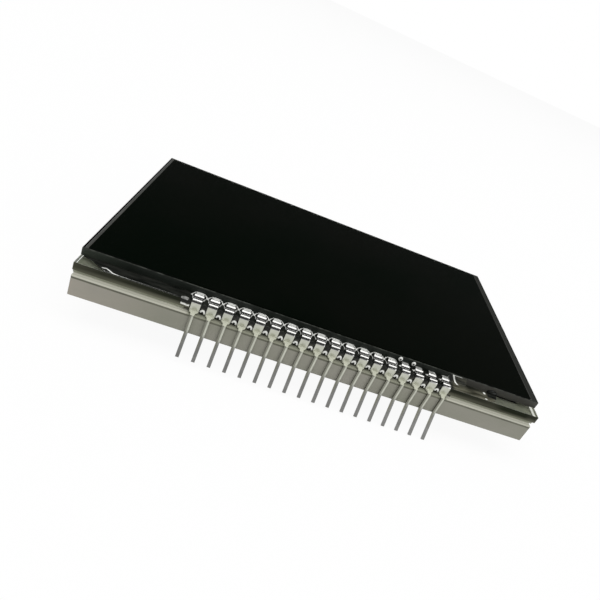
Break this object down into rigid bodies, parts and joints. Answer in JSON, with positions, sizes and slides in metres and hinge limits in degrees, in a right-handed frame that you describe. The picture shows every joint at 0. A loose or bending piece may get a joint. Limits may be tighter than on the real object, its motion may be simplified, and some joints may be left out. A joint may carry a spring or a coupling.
{
  "type": "segment lcd display",
  "caption": "Flat glass segment display with a black viewing face, a row of clip leads on its contact ledge and a pale edge-lit backlight.",
  "frame": {"origin": "centre of the backlight's flat underside", "axes": "+X along the lead row, +Y from the leads to the back edge, +Z out of the viewing face"},
  "size_m": [0.0635, 0.0393, 0.0091],
  "materials": {
    "polarizing_film": "glossy near-black film",
    "display_glass": "clear soda-lime glass, grey-green at the cut edges",
    "seal_epoxy": "screen-printed epoxy",
    "cell_fluid": "thin clear fluid layer",
    "silver_paste": "silver-filled paste",
    "sealing_resin": "glossy dark resin",
    "adhesive_tape": "pale double-sided tape",
    "diffuser_film": "pale film, olive at the cut edge",
    "guide_acrylic": "clear moulded acrylic",
    "reflector_film": "white film",
    "housing_plastic": "pale grey-beige moulded plastic",
    "lamp_board": "white-masked laminate",
    "lamp_body": "white body with a yellow lens",
    "tinned_metal": "satin tin plating"
  },
  "bodies": {
    "root": {"top_polarizer": "polarizing_film", "top_glass": "display_glass", "bottom_glass": "display_glass", "perimeter_seal": "seal_epoxy", "liquid_crystal": "cell_fluid", "transfer_dots": "silver_paste", "fill_port_plug": "sealing_resin", "bottom_polarizer": "polarizing_film", "contact_resin": "sealing_resin", "mounting_tape": "adhesive_tape", "diffuser_sheet": "diffuser_film", "light_guide": "guide_acrylic", "reflector_film": "reflector_film", "backlight_housing": "housing_plastic", "led_board": "lamp_board", "led_01": "lamp_body", "led_02": "lamp_body", "led_03": "lamp_body", "led_04": "lamp_body", "cathode_tab": "tinned_metal", "anode_tab": "tinned_metal", "pin_01": "tinned_metal", "pin_02": "tinned_metal", "pin_03": "tinned_metal", "pin_04": "tinned_metal", "pin_05": "tinned_metal", "pin_06": "tinned_metal", "pin_07": "tinned_metal", "pin_08": "tinned_metal", "pin_09": "tinned_metal", "pin_10": "tinned_metal", "pin_11": "tinned_metal", "pin_12": "tinned_metal", "pin_13": "tinned_metal", "pin_14": "tinned_metal", "pin_15": "tinned_metal", "pin_16": "tinned_metal", "pin_17": "tinned_metal", "pin_18": "tinned_metal"}
  },
  "joints": []
}
